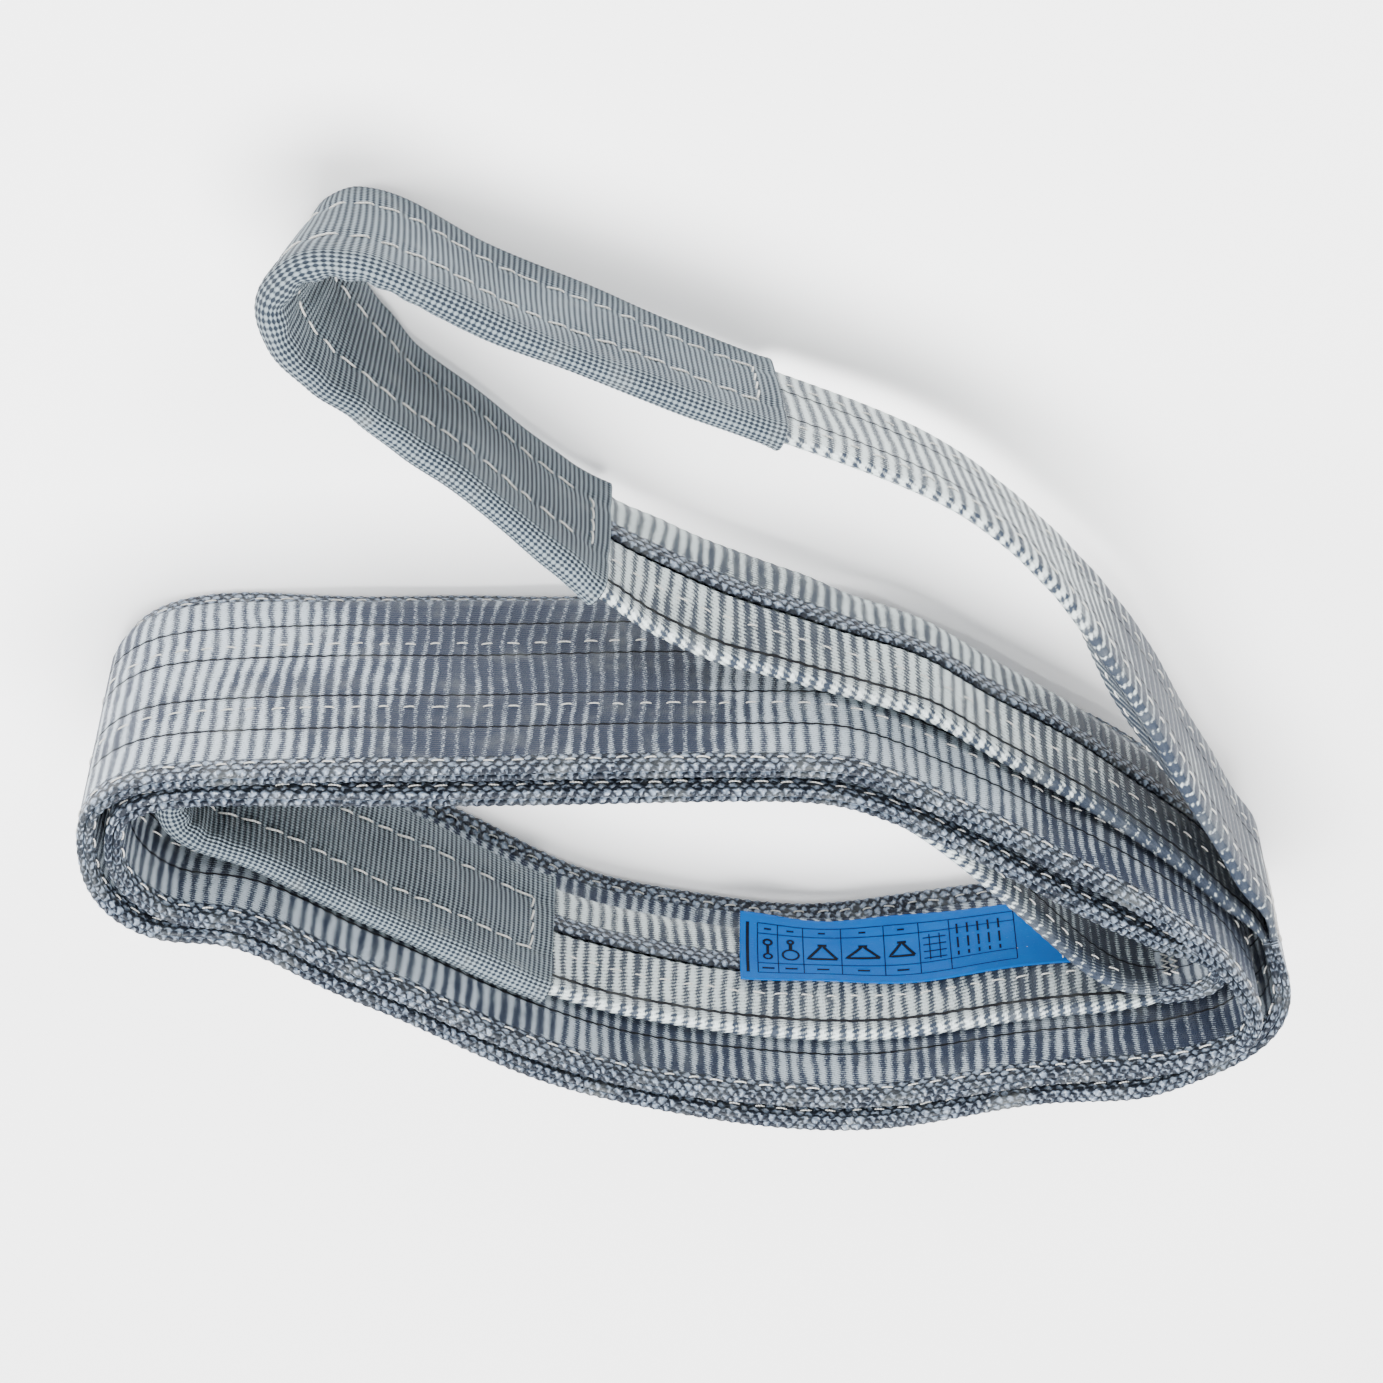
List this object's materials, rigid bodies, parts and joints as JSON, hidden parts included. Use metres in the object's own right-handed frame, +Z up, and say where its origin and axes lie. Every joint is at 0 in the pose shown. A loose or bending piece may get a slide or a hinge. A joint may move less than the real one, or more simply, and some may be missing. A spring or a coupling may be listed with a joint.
{
  "type": "flat web sling",
  "caption": "Flat duplex webbing lifting sling with a folded, sleeved eye at each end, wound up on its edges with one eye lying out to the front.",
  "frame": {"origin": "under the middle of the whole footprint, on the surface that the sling stands on", "axes": "+Z up, along the webbing's width; +X along the long way of the wound coil, away from the throats; the free eye lies out towards -Y"},
  "size_m": [0.4809, 0.3887, 0.12],
  "materials": {
    "webbing": "woven polyester webbing, grey with black index lines, satin",
    "sleeve": "tubular woven polyester, fine grey check",
    "thread": "off-white polyester sewing thread",
    "label": null
  },
  "bodies": {
    "coil": {"webbing_outer_ply": "webbing", "webbing_inner_ply": "webbing", "body_stitch_row_1": "thread", "body_stitch_row_2": "thread", "body_stitch_row_3": "thread", "body_stitch_row_4": "thread", "inner_eye_webbing": "webbing", "inner_eye_sleeve": "sleeve", "inner_sleeve_stitching": "thread", "free_throat_tacks": "thread", "inner_throat_tacks": "thread", "label_stitching": "thread"},
    "free_eye": {"free_eye_webbing": "webbing", "free_eye_sleeve": "sleeve", "free_sleeve_stitching": "thread"},
    "label": {"label": "label"}
  },
  "joints": [
    {"name": "free_eye_swing", "type": "hinge", "parent": "coil", "child": "free_eye", "pos_m": [-0.2255, 0.109, 0.06], "axis": [0, 0, -1], "range_deg": [0, 70]},
    {"name": "label_lift", "type": "hinge", "parent": "coil", "child": "label", "pos_m": [-0.1531, 0.1491, 0.045], "axis": [0, 0, -1], "range_deg": [0, 25]}
  ]
}
